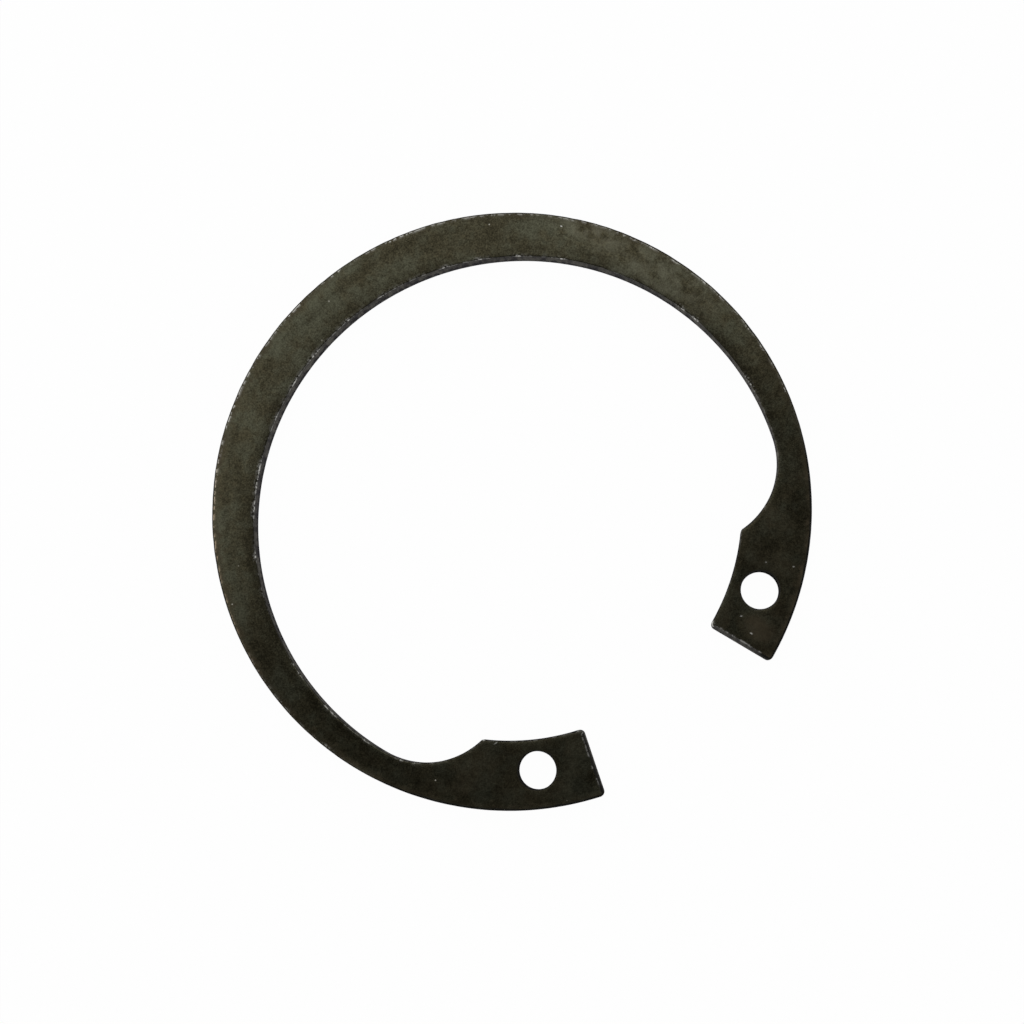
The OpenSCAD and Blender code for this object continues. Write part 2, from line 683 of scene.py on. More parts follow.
        holes, lugs = [], []
        for hand in Hand:
            right = hand is Hand.RIGHT
            own = behind[inner:rim + 1] if right else behind[total - rim:total - inner + 1]
            joint = beam[1:-1, 0][::-1] if right else beam[1:-1, -1]
            border = np.concatenate([own, joint])
            centre = self.hole_centre * np.array([1, hand.value])
            away = border - centre
            rays = away / np.linalg.norm(away, axis=1, keepdims=True)
            holes.append(Loop((centre + self.hole_r * rays)[::-1], -rays[::-1]))
            rim_of_hole = centre + (self.hole_r + self.strip.land) * rays
            lugs.append((1 - shares) * rim_of_hole + shares * border)
        return [loop, *holes], beam, lugs

    def knocks(self) -> list[Knock]:
        """Lists the knocks along the outline.

        Returns:
            The knocks on the inner edge and on the rim.
        """
        kinds = [
            (Edge.INNER, self.inner_knocks, self.knock, 1.0),
            (Edge.INNER, self.inner_scrapes, self.scrape, 1.0),
            (Edge.INNER, self.faint_knocks, self.knock, self.faint_shine),
            (Edge.RIM, self.rim_knocks, self.knock, self.rim_shine),
        ]
        return [Knock(edge, at, *look) for edge, bearings, *look in kinds for at in bearings]

    def build(self) -> bpy.types.Object:
        """Makes the ring's mesh from its walls and faces, joined along their seams.

        Returns:
            The ring's object.
        """
        loops, beam, lugs = self.plans()
        edges = np.concatenate([loop.edge for loop in loops])
        seeds = [self.outline_seed, *self.hole_seeds]
        struck = [self.knocks(), [], []]
        worn = [True, False, False]
        patches = [self.strip.skin(*edge) for edge in zip(loops, seeds, worn, struck)]
        for side in Side:
            patches.append(self.strip.face(beam, edges, side, closed=False))
            patches += [self.strip.face(lug, edges, side, closed=True) for lug in lugs]
        return sewn("ring", patches)


def placed(name: str, data: bpy.types.ID) -> bpy.types.Object:
    """Makes an object at the origin of the scene.

    Args:
        name: The object's name.
        data: Its mesh, lamp or camera.

    Returns:
        The object.
    """
    made = bpy.data.objects.new(name, data)
    bpy.context.scene.collection.objects.link(made)
    return made


def sewn(name: str, patches: list[Patch]) -> bpy.types.Object:
    """Makes one mesh object from several patches and merges the points along their seams.

    Args:
        name: The object's name.
        patches: The patches, whose borders coincide.

    Returns:
        The object, linked to the scene at the origin.
    """
    seam = 0.0005 * MM
    sizes = [patch.points[..., 0].size for patch in patches]
    firsts = np.cumsum(sizes) - sizes
    points = np.concatenate([patch.points.reshape(-1, 3) for patch in patches])
    quads = np.concatenate([patch.corners() + first for patch, first in zip(patches, firsts)])
    mesh = bpy.data.meshes.new(name)
    mesh.vertices.add(len(points))
    mesh.vertices.foreach_set("co", points.ravel())
    mesh.loops.add(quads.size)
    mesh.loops.foreach_set("vertex_index", quads.ravel())
    mesh.polygons.add(len(quads))
    mesh.polygons.foreach_set("loop_start", np.arange(0, quads.size, 4))
    for band in Band:
        values = np.concatenate([patch.bands[band].ravel() for patch in patches])
        mesh.attributes.new(band.value, "FLOAT", "POINT").data.foreach_set("value", values)
    mesh.update(calc_edges=True)
    work = bmesh.new()
    work.from_mesh(mesh)
    bmesh.ops.remove_doubles(work, verts=work.verts, dist=seam)
    work.to_mesh(mesh)
    work.free()
    mesh.polygons.foreach_set("use_smooth", np.ones(len(mesh.polygons), dtype=bool))
    mesh.update()
    return placed(name, mesh)


class Signal:
    """A shader socket that can be written into sums and products."""

    def __init__(self, graph: "Graph", socket: bpy.types.NodeSocket) -> None:
        """Wraps an output socket of a graph's node."""
        self.graph = graph
        self.socket = socket

    def __add__(self, other: "Signal | float") -> "Signal":
        """The sum of two values."""
        return self.graph.maths("ADD", self, other)

    def __radd__(self, other: float) -> "Signal":
        """The sum of a number and this value."""
        return self.graph.maths("ADD", other, self)

    def __sub__(self, other: "Signal | float") -> "Signal":
        """The difference of two values."""
        return self.graph.maths("SUBTRACT", self, other)

    def __rsub__(self, other: float) -> "Signal":
        """A number less this value."""
        return self.graph.maths("SUBTRACT", other, self)

    def __mul__(self, other: "Signal | float") -> "Signal":
        """The product of two values."""
        return self.graph.maths("MULTIPLY", self, other)

    def __rmul__(self, other: float) -> "Signal":
        """The product of a number and this value."""
        return self.graph.maths("MULTIPLY", other, self)

    def rise(self, low: float, high: float) -> "Signal":
        """A smooth mask that goes from 0 at the low value to 1 at the high one."""
        settings = {"interpolation_type": "SMOOTHSTEP"}
        return self.graph.node("ShaderNodeMapRange", settings, {0: self, 1: low, 2: high, 3: 0.0, 4: 1.0})


Value = Signal | float | tuple[float, ...]


class Graph:
    """A node tree that is written as expressions."""

    def __init__(self, tree: bpy.types.NodeTree) -> None:
        """Takes over a node tree and empties it."""
        self.tree = tree
        tree.nodes.clear()

    def node(
        self, kind: str, settings: Mapping[str, Any], inputs: Mapping[int | str, Value], output: int | str = 0
    ) -> Signal:
        """Adds a node.

        Args:
            kind: The node's type.
            settings: The node's own settings, which are set first.
            inputs: Values or links, by the number or name of the socket.
            output: Number or name of the output that is wanted.

        Returns:
            That output.
        """
        made = self.tree.nodes.new(kind)
        for name, value in settings.items():
            setattr(made, name, value)
        for key, value in inputs.items():
            if isinstance(value, Signal):
                self.tree.links.new(value.socket, made.inputs[key])
            else:
                made.inputs[key].default_value = value
        return Signal(self, made.outputs[output] if made.outputs else None)

    def maths(self, operation: str, first: Value, second: Value) -> Signal:
        """One Math node on two values."""
        return self.node("ShaderNodeMath", {"operation": operation}, {0: first, 1: second})

    def highest(self, *values: Signal) -> Signal:
        """The highest of several values."""
        return reduce(lambda first, second: self.maths("MAXIMUM", first, second), values)

    def vector(self, operation: str, *vectors: Value, output: str = "Vector") -> Signal:
        """One Vector Math node on one or two vectors."""
        return self.node("ShaderNodeVectorMath", {"operation": operation}, dict(enumerate(vectors)), output)

    def length(self, vector: Signal) -> Signal:
        """The length of a vector."""
        return self.vector("LENGTH", vector, output="Value")

    def blend(self, share: Value, base: Value, over: Value) -> Signal:
        """A mix of two colours, from the base to the one over it as the share goes from 0 to 1."""
        pair = {6: opaque(base), 7: opaque(over)}
        return self.node("ShaderNodeMix", {"data_type": "RGBA"}, {0: share, **pair}, output=2)

    def band(self, band: Band) -> Signal:
        """The values of one of the mesh's attributes."""
        return self.node("ShaderNodeAttribute", {"attribute_name": band.value}, {}, output="Fac")


def opaque(colour: Value) -> Value:
    """A colour with full alpha, or a link as it is."""
    return colour if isinstance(colour, Signal) else (*colour, 1.0)


@dataclass(frozen=True)
class Mottle:
    """A cloudy pattern of the coat.

    Attributes:
        size: Size of its largest patches in millimetres.
        detail: How many finer layers are added.
        seed: Offset that sets the pattern apart from the others.
        low, high: Values of the pattern, around 0, between which a mask of it rises.
        weight: How much the pattern lightens and darkens the faces.
        run: How the pattern lies on the ring.
        falloff: Strength of each finer layer, as a share of the one before.
    """

    size: float
    detail: float
    seed: float
    low: float = -0.5
    high: float = 0.5
    weight: float = 0.0
    run: Run = Run.EVEN
    falloff: float = 0.55


@dataclass(frozen=True)
class Sector:
    """The part of the ring that lies towards a bearing.

    Attributes:
        bearing: The bearing from the ring's axis, in degrees.
        low, high: Ways towards the bearing, in radii of the rim, between which the sector's mask rises.
        weight: Strength of what the sector adds.
    """

    bearing: float
    low: float
    high: float
    weight: float = 1.0


@dataclass(frozen=True)
class Fade:
    """Something that lies beside an edge and fades out behind it.

    Attributes:
        strength: Its strength at the edge.
        near, far: Distances behind the edge between which it fades, in millimetres.
    """

    strength: float
    near: float
    far: float


@dataclass(frozen=True)
class Scar:
    """A scratch, chip, stain or patch of painted sheen on the upper face, as an oval with soft edges.

    Attributes:
        x, y: Its place in plan, in millimetres.
        bearing: Bearing of its length, in degrees.
        length, width: Its size in millimetres.
        strength: How much of the coat is changed in its middle.
        core: Share of the oval that has its full strength.
    """

    x: float
    y: float
    bearing: float
    length: float
    width: float
    strength: float
    core: float = 0.2


class Surface(Graph):
    """The node tree of the ring's material, with what it reads at a point of the ring.

    Attributes:
        RIM_BAND: Distances behind the rim, in millimetres, between which what belongs to the rim starts.
        END_BAND: Distances behind an end face, in millimetres, between which what belongs to it ends.
        LUGS: The part of the ring that the lugs take up.
        AROUND: Way round in a pattern along the ring, for each millimetre round the rim.
        UPWARD: Way up in an upright pattern, for each millimetre of height.
        rim_r, top: Radius of the rim and height of the upper face, in millimetres.
        place, height: Coordinates in millimetres, and the height as a share of the thickness.
        crest, knock, wall: The mesh's attributes of those names.
        behind: Distance behind the nearest edge in millimetres.
        beside_rim, lugs, ends: Masks of the ring's parts.
        runs, patterns: Coordinates for each run of a pattern, and the patterns made so far.
    """

    RIM_BAND: Span = (1.6, 0.8)
    END_BAND: Span = (0.35, 0.7)
    LUGS = Sector(0, 0.42, 0.56)
    AROUND = 0.15
    UPWARD = 0.2

    def __init__(self, tree: bpy.types.NodeTree, ring: RetainingRing) -> None:
        """Takes over a node tree and adds coordinates, the mesh's attributes and masks of the ring's parts.

        Args:
            tree: The material's node tree.
            ring: The ring.
        """
        super().__init__(tree)
        self.rim_r = ring.rim_r / MM
        self.top = ring.strip.thickness / MM
        self.patterns: dict[Mottle, Signal] = {}
        self.crest, self.knock, self.wall, inset = [self.band(band) for band in Band]
        self.behind = inset * (1 / MM)
        coordinates = self.node("ShaderNodeTexCoord", {}, {}, output="Object")
        self.place = self.vector("MULTIPLY", coordinates, (1 / MM,) * 3)
        self.height = self.node("ShaderNodeSeparateXYZ", {}, {0: self.place}, output="Z") * (1 / self.top)
        plan = self.vector("MULTIPLY", self.place, (1, 1, 0))
        radius = self.length(plan)
        around = self.vector("MULTIPLY", self.vector("NORMALIZE", plan), (self.rim_r * self.AROUND,) * 3)
        self.runs = {
            Run.EVEN: self.place,
            Run.ALONG: self.vector("ADD", around, self.node("ShaderNodeCombineXYZ", {}, {2: radius})),
            Run.UPRIGHT: self.vector("MULTIPLY", self.place, (1, 1, self.UPWARD)),
        }
        self.beside_rim = radius.rise(*(self.rim_r - depth for depth in self.RIM_BAND))
        self.lugs = self.sector(self.LUGS)
        into_lug = (*ray(ring.gap_angle / 2 + math.pi / 2), 0.0)
        mirrored = self.vector("ABSOLUTE", self.place)
        from_end = self.vector("DOT_PRODUCT", mirrored, into_lug, output="Value")
        self.ends = self.lugs * (1 - from_end.rise(*self.END_BAND))

    def noise(self, pattern: Mottle) -> Signal:
        """A cloudy pattern, as values around 0.

        Args:
            pattern: The pattern, whose node is made at its first use.

        Returns:
            The noise less one half.
        """
        if pattern not in self.patterns:
            self.patterns[pattern] = self.node("ShaderNodeTexNoise", {"noise_dimensions": "4D"}, {
                "Vector": self.runs[pattern.run],
                "W": pattern.seed,
                "Scale": 1 / pattern.size,
                "Detail": pattern.detail,
                "Roughness": pattern.falloff,
            }, output="Fac") - 0.5
        return self.patterns[pattern]

    def mask(self, pattern: Mottle) -> Signal:
        """Where a cloudy pattern is high, from 0 to 1."""
        return self.noise(pattern).rise(pattern.low, pattern.high)

    def sector(self, sector: Sector) -> Signal:
        """A mask of a sector, from the way towards its bearing over the radius of the rim.

        Args:
            sector: The sector.

        Returns:
            The mask, times the sector's weight.
        """
        way = (*(ray(math.radians(sector.bearing)) / self.rim_r), 0.0)
        toward = self.vector("DOT_PRODUCT", self.place, way, output="Value")
        return sector.weight * toward.rise(sector.low, sector.high)

    def fade(self, fade: Fade) -> Signal:
        """How strong something is at a distance behind the nearest edge."""
        return fade.strength * (1 - self.behind.rise(fade.near, fade.far))

    def oval(self, scar: Scar) -> Signal:
        """A mask of a scar.

        Args:
            scar: The scar.

        Returns:
            The scar's strength in the middle of its oval, falling to 0 at the oval's edge.
        """
        near = self.node("ShaderNodeMapping", {"vector_type": "TEXTURE"}, {
            "Vector": self.place,
            "Location": (scar.x, scar.y, self.top),
            "Rotation": (0.0, 0.0, math.radians(scar.bearing)),
            "Scale": (scar.length / 2, scar.width / 2, self.top / 2),
        })
        return scar.strength * (1 - self.length(near).rise(scar.core, 1.0))


@dataclass(frozen=True)
class Faces:
    """The coat on the flat faces, mottled from black to umber and slate, with painted light, shade and sheen.

    Attributes:
        umber, slate: Colours of the browner and the greyer patches, where they are palest.
        black_and_shade: Colour of the darkest mottling, towards which painted shade also darkens the faces.
        sheen_colour: Colour of the painted sheen.
        tone: Mean tone, from 0 for black_and_shade to 1 for the palest.
        hue_spread: Value of the mottling at which a face is all umber or all slate.
        clouds, patches, specks: Slow, quicker and finest mottling.
        grain, sweep: Grain of the coat, and mottling that is drawn out along the ring.
        shade, even: How much painted shade darkens the faces beside the inner edge, and where it doesn't.
        light, lit: How much painted light brightens the faces beside the rim, and the lit side where it does.
        sheen_patches: Patches of painted sheen.
    """

    umber: Colour = (0.113, 0.101, 0.060)
    slate: Colour = (0.103, 0.1045, 0.070)
    black_and_shade: Colour = (0.020, 0.018, 0.011)
    sheen_colour: Colour = (0.32, 0.30, 0.22)
    tone: float = 0.42
    hue_spread: float = 0.2
    clouds: Mottle = Mottle(3.6, 3, 0, weight=0.5)
    patches: Mottle = Mottle(1.1, 4, 7, -0.12, 0.12, weight=0.5)
    specks: Mottle = Mottle(0.13, 1, 3, weight=0.9)
    grain: Mottle = Mottle(0.26, 3, 2, weight=0.5)
    sweep: Mottle = Mottle(0.9, 3, 17, weight=0.4, run=Run.ALONG)
    shade: Fade = Fade(0.14, 0.2, 1.6)
    even: Sector = Sector(131, 0.7, 0.9, weight=0.7)
    light: Fade = Fade(0.12, 0.5, 2.2)
    lit: Sector = Sector(210, 0.5, 0.95)
    sheen_patches: tuple[Scar, ...] = (
        Scar(-15.5, 22.3, 35, 10.0, 2.4, 0.11),
        Scar(-8.9, 24.4, 20, 22.0, 6.0, 0.1),
    )

    def colour(self, at: Surface) -> Signal:
        """Mixes the colour of the faces.

        Args:
            at: The surface.

        Returns:
            The colour.
        """
        mottling = (self.specks, self.grain, self.patches, self.clouds, self.sweep)
        tone = sum((pattern.weight * at.noise(pattern) for pattern in mottling), start=self.tone)
        # Painted shade: the faces darken beside the inner edge, except beside the rim, on the lugs and on one
        # side.
        even = at.highest(at.beside_rim, at.lugs, at.sector(self.even))
        tone = tone - at.fade(self.shade) * (1 - even)
        # Painted light: the faces are paler beside the rim on the lit side.
        tone = tone + at.fade(self.light) * at.beside_rim * at.sector(self.lit)
        hue = (at.noise(self.patches) + at.noise(self.clouds)).rise(-self.hue_spread, self.hue_spread)
        face = at.blend(tone.rise(0.0, 1.0), self.black_and_shade, at.blend(hue, self.umber, self.slate))
        # Painted sheen: pale patches on the beam.
        for sheen_patch in self.sheen_patches:
            face = at.blend(at.mask(self.patches) * at.oval(sheen_patch), face, self.sheen_colour)
        return face


@dataclass(frozen=True)
class Film:
    """A brown film on the faces, beside the rim, on the lugs and at stains.

    Attributes:
        rust: Its colour.
        brown, freckles: Its patches and its freckles.
        least, patch: Its thickness between patches, and what a patch adds.
        fade, freckle_fade: How the film and its freckles end behind the rim.
        share, rusty: Share of the film that the rim has all round, and where it has the rest.
        lug: Its thickness in patches on the lugs.
        even: Share of a stain that doesn't follow the patches.
        stains: Stains away from the rim.
    """

    rust: Colour = (0.062, 0.050, 0.032)
    brown: Mottle = Mottle(2.2, 4, 5, -0.1, 0.14)
    freckles: Mottle = Mottle(0.6, 2, 19, 0.06, 0.18)
    least: float = 0.22
    patch: float = 0.55
    fade: Fade = Fade(1.0, 0.25, 0.9)
    freckle_fade: Fade = Fade(0.4, 0.4, 2.0)
    share: float = 0.4
    rusty: Sector = Sector(244, 0.3, 0.9)
    lug: float = 0.3
    even: float = 0.6
    stains: tuple[Scar, ...] = (
        Scar(23.3, 10.8, 20, 5.2, 3.6, 1.1),
        Scar(24.4, 14.6, 125, 5.0, 1.8, 0.4),
        Scar(20.3, -14.0, -35, 15.0, 8.0, 0.3),
    )

    def mask(self, at: Surface) -> Signal:
        """Works out how thick the film is.

        Args:
            at: The surface.

        Returns:
            The thickness, from 0 to about 1.
        """
        brown = at.mask(self.brown)
        film = (self.least + self.patch * brown) * at.fade(self.fade)
        film = film + at.mask(self.freckles) * at.fade(self.freckle_fade)
        brownest = at.highest(at.sector(self.rusty), at.lugs)
        film = film * at.beside_rim * (self.share + (1 - self.share) * brownest)
        spread = self.even + (1 - self.even) * brown
        stains = [spread * at.oval(stain) for stain in self.stains]
        return at.highest(film, self.lug * brown * at.lugs, *stains)


@dataclass(frozen=True)
class Walls:
    """The punched walls, smeared above and torn below, with black upper edges, made blacker on the shaded
    side as painted shade.

    Attributes:
        sheared, torn: Colours of the upper and the lower part.
        black: Colour of the blackest edges and of the lugs' walls.
        streaks, drift: Streaks down the walls, and a slow change along them.
        ragged: Height of the streaks' tips, as a share of the thickness.
        smear_band: Shares of the thickness between which torn turns to sheared.
        smear: How pale the sheared part is, what a streak adds and what the drift adds.
        lip_band: Shares of the thickness between which the upper lip darkens.
        lip: How dark the lip is, and what painted shade adds to it on the shaded side.
        rim, shade: How dark the walls are along the rim, and how much painted shade darkens them on the
            shaded side.
        shaded_side, black_and_shade: The side of the ring that is painted in shade, and how black the painted
            shade makes the upper edges there.
        shade_band: Steepness between which the black of the upper edges ends on the wall.
        lug, end: How black the lugs' walls are, and how much less so their end faces.
    """

    sheared: Colour = (0.143, 0.136, 0.121)
    torn: Colour = (0.044, 0.042, 0.045)
    black: Colour = (0.013, 0.0125, 0.011)
    streaks: Mottle = Mottle(0.5, 4, 4, -0.18, 0.18, run=Run.UPRIGHT)
    drift: Mottle = Mottle(5.0, 3, 6, -0.15, 0.15)
    ragged: float = 0.5
    smear_band: Span = (0.2, 0.6)
    smear: tuple[float, float, float] = (0.05, 0.7, 0.35)
    lip_band: Span = (0.75, 0.95)
    lip: Span = (0.2, 0.5)
    rim: float = 0.5
    shade: float = 0.2
    shaded_side: Sector = Sector(300, 0.2, 0.7)
    black_and_shade: float = 0.8
    shade_band: Span = (0.4, 0.95)
    lug: float = 0.8
    end: float = 0.6

    def colour(self, at: Surface) -> Signal:
        """Mixes the colour of the walls.

        Args:
            at: The surface.

        Returns:
            The colour.
        """
        plain, streaked, drifted = self.smear
        lip, shaded_lip = self.lip
        streaks = at.mask(self.streaks)
        # Painted shade: on the shaded side of the ring the walls, the lip and the upper edges are darkened.
        shaded_side = at.sector(self.shaded_side)
        smeared = (at.height + self.ragged * (streaks - 0.5)).rise(*self.smear_band)
        smeared = smeared * (plain + streaked * streaks + drifted * at.mask(self.drift))
        dark_lip = at.height.rise(*self.lip_band) * (lip + shaded_lip * shaded_side)
        dark_and_shaded = at.highest(self.rim * at.beside_rim, self.shade * shaded_side, dark_lip)
        # Black upper edges along the rim, and painted shade on the upper edges of the shaded side.
        edge = at.highest(self.black_and_shade * shaded_side, at.beside_rim) * (1 - at.wall.rise(*self.shade_band))
        blackest = at.highest(at.lugs * (self.lug - self.end * at.ends), edge)
        wall = at.blend(dark_and_shaded, at.blend(smeared, self.torn, self.sheared), self.black)
        return at.blend(blackest, wall, self.black)


@dataclass(frozen=True)
class WearAndHighlights:
    """Bare steel, along the edges in broken lines that are partly painted highlights, at knocks and at scars.

    Attributes:
        bare, tarnished: Colours of bare steel, and of the bare rim where it has browned.
        browned: Where it has browned.
        beads, chips: Beads that make up the worn lines, and chips that make up the knocks.
        rim_scuffs, inner_scuffs: Stretches of the rim and of the inner edge that are worn more.
        rim, least: Where the rim's worn line is stronger or weaker, partly as painted highlight on the lit
            side, and its strength elsewhere.
        scuff_least: Wear between the rim's scuffs, as a share of that in them.
        inner, far: Strength of the inner edge's worn line in its scuffs, and where painted highlight makes it
            stronger.
        end, right: Strength of the worn line along the lugs' end faces, partly a painted highlight, and where
            it is stronger.
        chip_band: Steepness between which the rim's knocks end.
        scars: Scratches and chips on the upper face.
    """

    bare: Colour = (0.80, 0.79, 0.74)
    tarnished: Colour = (0.46, 0.36, 0.25)
    browned: Sector = Sector(244, 0.88, 0.98)
    beads: Mottle = Mottle(0.4, 2, 9, -0.04, 0.1)
    chips: Mottle = Mottle(0.24, 2, 13, -0.03, 0.07)
    rim_scuffs: Mottle = Mottle(4.0, 2, 15, -0.15, 0.1)
    inner_scuffs: Mottle = Mottle(4.0, 2, 15, -0.08, 0.08)
    rim: tuple[Sector, ...] = (
        Sector(178, -0.6, 1.0, weight=0.78),
        Sector(131, 0.8, 1.0, weight=-0.36),
        Sector(244, 0.8, 0.95, weight=0.3),
    )
    least: float = 0.02
    scuff_least: float = 0.4
    inner: float = 0.12
    far: Sector = Sector(180, 0.4, 0.75, weight=0.2)
    end: float = 0.3
    right: Sector = Sector(90, -0.2, 0.2, weight=0.5)
    chip_band: Span = (0.04, 0.3)
    scars: tuple[Scar, ...] = (
        Scar(21.5, 10.3, 60, 0.35, 0.2, 0.7),
        Scar(23.3, 10.0, 20, 0.4, 0.2, 0.7),
        Scar(21.0, 16.9, 40, 0.3, 0.2, 0.6),
        Scar(19.1, 15.2, 40, 0.25, 0.2, 0.5),
        Scar(16.4, -14.6, 85, 0.55, 0.16, 0.6),
        Scar(15.5, -15.3, 60, 0.3, 0.18, 0.5),
        Scar(-17.6, 20.6, 30, 0.3, 0.2, 0.6),
    )

    def colour(self, at: Surface) -> Signal:
        """The colour of the bare steel."""
        return at.blend(at.sector(self.browned), self.bare, self.tarnished)

    def mask(self, at: Surface) -> Signal:
        """Works out how bare the steel is.

        Args:
            at: The surface.

        Returns:
            The share of the coat that is gone, from 0 to 1.
        """
        scuffed = self.scuff_least + (1 - self.scuff_least) * at.mask(self.rim_scuffs)
        # Painted highlight: the rim's line is made stronger towards the lit side and weaker elsewhere.
        rim = scuffed * sum((at.sector(sector) for sector in self.rim), start=self.least)
        # Painted highlight: the inner edge's line is stronger on the far side, and the end faces carry a line
        # that is stronger on one lug.
        inner = (self.inner + at.sector(self.far)) * at.mask(self.inner_scuffs)
        inner = inner + (self.end + at.sector(self.right)) * at.ends
        lines = at.crest * at.mask(self.beads) * (at.beside_rim * rim + (1 - at.beside_rim) * inner)
        knocks = at.knock * at.mask(self.chips) * (1 - at.wall.rise(*self.chip_band) * at.beside_rim)
        return at.highest(knocks, lines, *(at.oval(scar) for scar in self.scars))


@dataclass(frozen=True)
class Dust:
    """Sparse pale flecks.

    Attributes:
        pale: Their colour.
        pitch: Their mean distance in millimetres.
        band: Distances from a fleck's middle, over the pitch, between which it ends.
        lot: Lots, from 0 to 1, between which a fleck is seen.
    """

    pale: Colour = (0.46, 0.44, 0.38)
    pitch: float = 1.3
    band: Span = (0.03, 0.08)
    lot: Span = (0.75, 1.0)

    def mask(self, at: Surface) -> Signal:
        """Scatters the flecks, one in each cell of a cell pattern whose lot falls to it.

        Args:
            at: The surface.

        Returns:
            The mask.
        """
        settings = {"feature": "F1"}
        cells = {"Vector": at.place, "Scale": 1 / self.pitch}
        away = at.node("ShaderNodeTexVoronoi", settings, cells, output="Distance")
        drawn = at.node("ShaderNodeTexVoronoi", settings, cells, output="Color")
        lot = at.node("ShaderNodeSeparateColor", {}, {0: drawn}, output=0)
        return (1 - away.rise(*self.band)) * lot.rise(*self.lot)


@dataclass(frozen=True)
class BlackenedSteel:
    """Spring steel with an oiled phosphate coat: dark olive faces, grey walls, edges worn bright with painted
    highlights.

    Attributes:
        faces, film, walls, wear_and_highlights, dust: What the coat is made up of, with its painted light and
        shade.
        satin, matt, polish: Roughness of the faces, of the walls and of bare steel.
        grain_rough, cloud_rough: How much the grain and the clouds change the roughness.
        grain_depth, cloud_depth: Depths of the grain and of the clouds in the surface.
        dulling: How far film and flecks take away the coat's metallic look.
        turn_band: Steepness between which a face turns into a wall.
        lug_turn: How much sooner it does on the lugs.
    """

    faces: Faces = Faces()
    film: Film = Film()
    walls: Walls = Walls()
    wear_and_highlights: WearAndHighlights = WearAndHighlights()
    dust: Dust = Dust()
    satin: float = 0.19
    matt: float = 0.6
    polish: float = 0.22
    grain_rough: float = 0.1
    cloud_rough: float = 0.06
    grain_depth: float = 0.0014 * MM
    cloud_depth: float = 0.005 * MM
    dulling: float = 0.8
    turn_band: Span = (0.1, 0.55)
    lug_turn: float = 6.0

    def material(self, ring: RetainingRing) -> bpy.types.Material:
        """Makes the material.

        Args:
            ring: The ring that wears it.

        Returns:
            The material, which reads Object coordinates and the mesh's attributes.
        """
        made = bpy.data.materials.new(SLOT)
        made.use_nodes = True
        at = Surface(made.node_tree, ring)
        # The bare-steel mask also carries the painted highlights along the edges.
        film, worn, fleck = [layer.mask(at) for layer in (self.film, self.wear_and_highlights, self.dust)]
        turned = (at.wall + self.lug_turn * at.wall * at.lugs).rise(*self.turn_band)
        face = at.blend(film, self.faces.colour(at), self.film.rust)
        coat = at.blend(fleck, at.blend(turned, face, self.walls.colour(at)), self.dust.pale)
        clean = (1 - self.dulling * fleck) * (1 - self.dulling * film)
        grain, clouds = at.noise(self.faces.grain), at.noise(self.faces.clouds)
        rough = self.satin + self.grain_rough * grain + self.cloud_rough * clouds
        rough = rough + at.wall * (self.matt - self.satin) + worn * (self.polish - self.satin)
        fine = at.node("ShaderNodeBump", {}, {"Distance": self.grain_depth, "Height": grain})
        wavy = {"Distance": self.cloud_depth, "Height": clouds, "Normal": fine}
        shader = at.node("ShaderNodeBsdfPrincipled", {}, {
            "Base Color": at.blend(worn, coat, self.wear_and_highlights.colour(at)),
            "Metallic": (1 - turned * (1 - worn)) * clean,
            "Roughness": rough,
            "Specular IOR Level": 0.0,
            "Normal": at.node("ShaderNodeBump", {}, wavy),
        })
        at.node("ShaderNodeOutputMaterial", {}, {"Surface": shader})
        return made


@dataclass(frozen=True)
class Lamp:
    """A soft rectangular lamp that faces straight down.

    Attributes:
        name: Name of the lamp.
        place: Where it hangs, in metres.
        width, depth: Its size in metres.
        power: Power in watts.
        turn: Turn of the lamp about the vertical, in radians.
    """

    name: str
    place: tuple[float, float, float]
    width: float
    depth: float
    power: float
    turn: float

    def light(self) -> None:
        """Puts the lamp into the scene."""
        data = bpy.data.lights.new(self.name, "AREA")
        data.shape = "RECTANGLE"
        data.size = self.width
        data.size_y = self.depth
        data.energy = self.power
        turned = Matrix.Rotation(self.turn, 4, "Z")
        placed(self.name, data).matrix_world = Matrix.Translation(self.place) @ turned


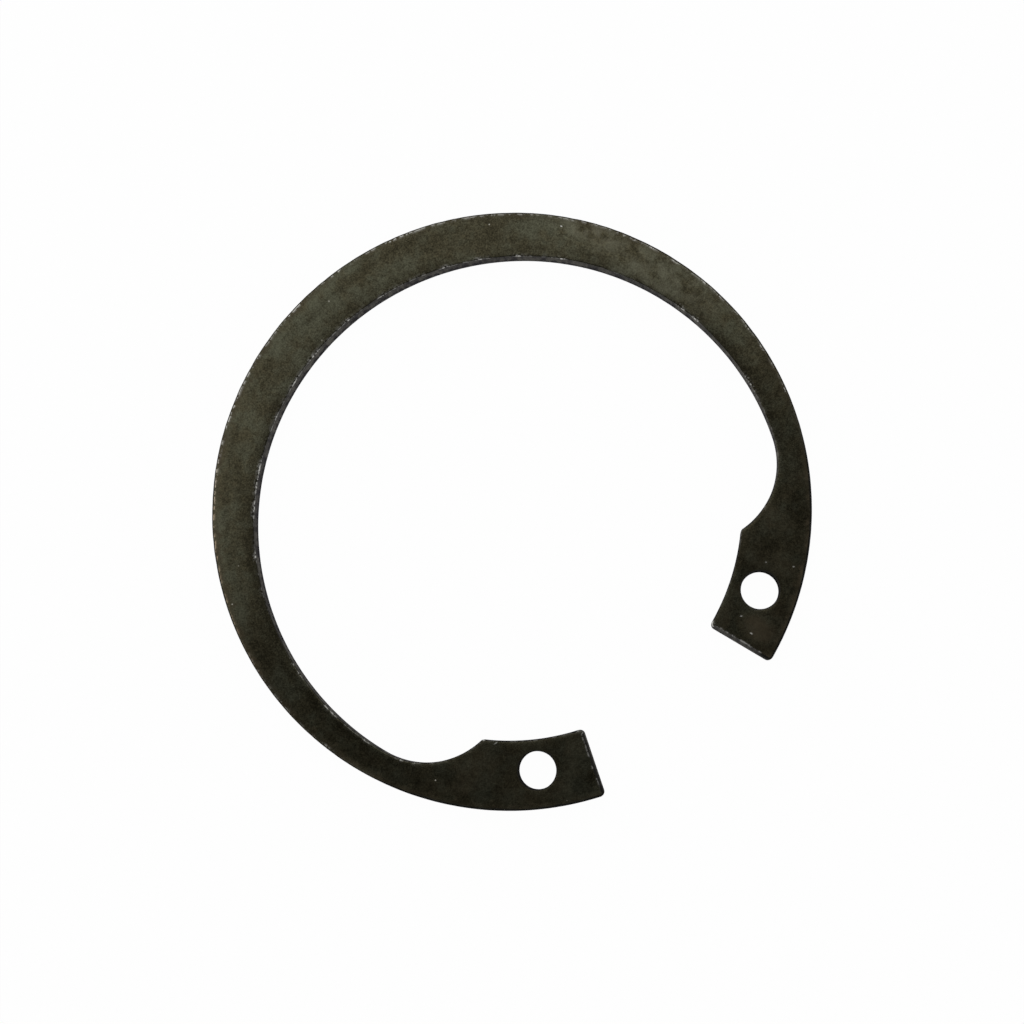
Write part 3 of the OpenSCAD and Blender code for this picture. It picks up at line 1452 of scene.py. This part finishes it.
@dataclass(frozen=True)
class Studio:
    """A white floor, a pale horizon and soft lamps.

    Attributes:
        floor_size: Width of the floor in metres.
        drop: Distance of the floor below the ring, which keeps the two apart.
        paper: Brightness of the floor in lamplight.
        glow: Share of the floor's look that is its own white, the rest being lamplight and shadow.
        horizon, overhead: Brightness of the surroundings at the horizon and overhead.
        dim_from: Height in the surroundings, as a share of straight up, from which they are dim.
        lamps: A wide lamp past the beam, whose near edge is mirrored across the face, and a small one nearer.
    """

    floor_size: float = 40.0
    drop: float = 0.01 * MM
    paper: float = 0.9
    glow: float = 0.98
    horizon: float = 1.0
    overhead: float = 0.165
    dim_from: float = 0.92
    lamps: tuple[Lamp, ...] = (
        Lamp("key", (-0.466, 0.099, 0.5), 0.8, 1.4, 2.9, math.radians(-13.9)),
        Lamp("sheen", (-0.09, 0.085, 0.5), 0.06, 0.06, 0.012, math.radians(-13.9)),
    )

    def floor(self) -> bpy.types.Object:
        """Lays the floor, which looks white to the camera and in reflections and still takes the shadow.

        Returns:
            The floor.
        """
        half = self.floor_size / 2
        corners = [(-half, -half), (half, -half), (half, half), (-half, half)]
        mesh = bpy.data.meshes.new("floor")
        mesh.from_pydata([(x, y, -self.drop) for x, y in corners], [], [(0, 1, 2, 3)])
        material = bpy.data.materials.new("white_paper")
        material.use_nodes = True
        graph = Graph(material.node_tree)
        looks = ("Is Camera Ray", "Is Glossy Ray", "Is Transmission Ray")
        seen = graph.highest(*(graph.node("ShaderNodeLightPath", {}, {}, output=look) for look in looks))
        lit = graph.node("ShaderNodeBsdfDiffuse", {}, {"Color": opaque((self.paper,) * 3)})
        white = graph.node("ShaderNodeEmission", {}, {"Strength": 1.0})
        mixed = graph.node("ShaderNodeMixShader", {}, {0: seen * self.glow, 1: lit, 2: white})
        graph.node("ShaderNodeOutputMaterial", {}, {"Surface": mixed})
        mesh.materials.append(material)
        return placed("floor", mesh)

    def surround(self) -> None:
        """Lights the scene from all round, pale at the horizon and dim overhead."""
        world = bpy.data.worlds.new("studio")
        world.use_nodes = True
        graph = Graph(world.node_tree)
        way = graph.node("ShaderNodeTexCoord", {}, {}, output="Generated")
        height = graph.node("ShaderNodeSeparateXYZ", {}, {0: way}, output="Z")
        dimming = height.rise(0.0, self.dim_from)
        colour = graph.blend(dimming, (self.horizon,) * 3, (self.overhead,) * 3)
        sky = graph.node("ShaderNodeBackground", {}, {"Color": colour})
        graph.node("ShaderNodeOutputWorld", {}, {"Surface": sky})
        bpy.context.scene.world = world


@dataclass(frozen=True)
class Viewpoint:
    """The camera, almost straight above the ring.

    Attributes:
        distance: Distance from the middle of the ring's upper face.
        tilt: Angle away from straight above.
        heading: Bearing from the axis towards which the camera leans.
        picture_right: Bearing in plan of the picture's left to right.
        focal: Focal length in picture widths.
        shift: How far the frame is moved right and up, in picture widths.
        sensor: Width of the sensor in millimetres.
        nearest: Distance from which things are seen.
    """

    distance: float = 180 * MM
    tilt: float = math.radians(8.0)
    heading: float = math.radians(-1.6)
    picture_right: float = math.radians(50.74)
    focal: float = 1930 / 1024
    shift: Span = (0.0040, -0.0055)
    sensor: float = 36.0
    nearest: float = 1 * MM

    def place(self, target: Vector) -> None:
        """Makes the scene's camera.

        Args:
            target: The point that it looks at.
        """
        data = bpy.data.cameras.new("camera")
        data.sensor_width = self.sensor
        data.lens = self.focal * self.sensor
        data.shift_x, data.shift_y = self.shift
        data.clip_start = self.nearest
        lean = math.sin(self.tilt) * ray(self.heading)
        back = Vector((lean[0], lean[1], math.cos(self.tilt)))
        right = Vector((*ray(self.picture_right), 0.0))
        right = (right - right.dot(back) * back).normalized()
        turn = Matrix((right, back.cross(right), back)).transposed().to_4x4()
        made = placed("camera", data)
        made.matrix_world = Matrix.Translation(target + self.distance * back) @ turn
        bpy.context.scene.camera = made


def main() -> None:
    """Builds the ring, dresses it and sets it in the studio."""
    logging.basicConfig(level=logging.INFO)
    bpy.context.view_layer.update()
    bpy.context.scene.view_settings.view_transform = "Standard"
    low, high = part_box(NODE)
    hole = mount("plier_hole_right")
    ring = RetainingRing(
        strip=Strip(thickness=high.z - low.z),
        rim_r=mount("rim")["dims"]["r_mm"] * MM,
        hole_centre=np.array(hole["pos_m"][:2]),
        hole_r=hole["dims"]["r_mm"] * MM,
    )
    piece = ring.build()
    piece.data.materials.append(BlackenedSteel().material(ring))
    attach(piece, BODY)
    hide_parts(NODE)
    LOG.info("%s: %d faces", piece.name, len(piece.data.polygons))

    studio = Studio()
    floor = studio.floor()
    studio.surround()
    for lamp in studio.lamps:
        lamp.light()
    Viewpoint().place(Vector((0, 0, high.z)))
    LOG.info("studio: %s", floor.name)


if __name__ == "__main__":
    main()
